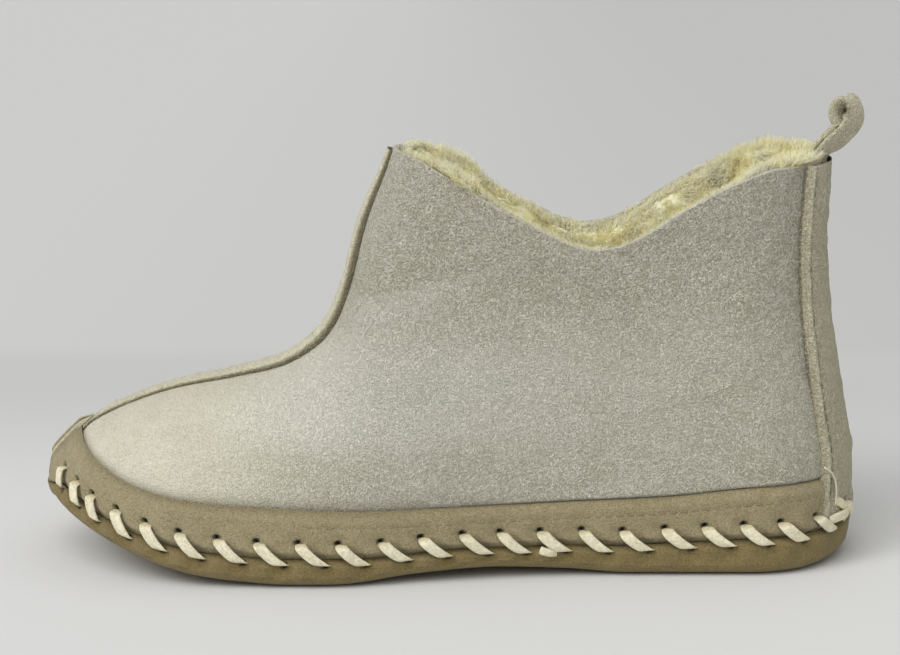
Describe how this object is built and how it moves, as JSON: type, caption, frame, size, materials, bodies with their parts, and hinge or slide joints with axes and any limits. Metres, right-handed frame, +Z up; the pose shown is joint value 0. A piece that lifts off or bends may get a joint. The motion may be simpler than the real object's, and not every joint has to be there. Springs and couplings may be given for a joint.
{
  "type": "moccasin bootie",
  "caption": "Ankle-high suede moccasin bootie for a left foot, with soft turned-up sole, whip-laced band, fleece lining and heel pull loop.",
  "frame": {"origin": "on the floor under the middle of the bootie's bounding box", "axes": "+Z up, +X from toe to heel, so the toe points along -X; -Y is the outer side of the left foot"},
  "size_m": [0.268, 0.1, 0.1533],
  "materials": {
    "panel_suede": "napped suede, pale beige grey",
    "band_suede": "napped suede, beige olive",
    "sole_suede": "napped suede, olive beige",
    "lace_leather": "smooth flat lace, cream",
    "fleece": "tufted wool fleece, cream yellow"
  },
  "bodies": {
    "root": {"sole": "sole_suede", "insole": "fleece", "upper": "panel_suede", "rand": "band_suede", "toe_ridge": "band_suede", "centre_strip": "band_suede", "heel_strip": "band_suede", "pull_loop": "band_suede", "fleece_collar": "fleece", "lace": "lace_leather"}
  },
  "joints": []
}
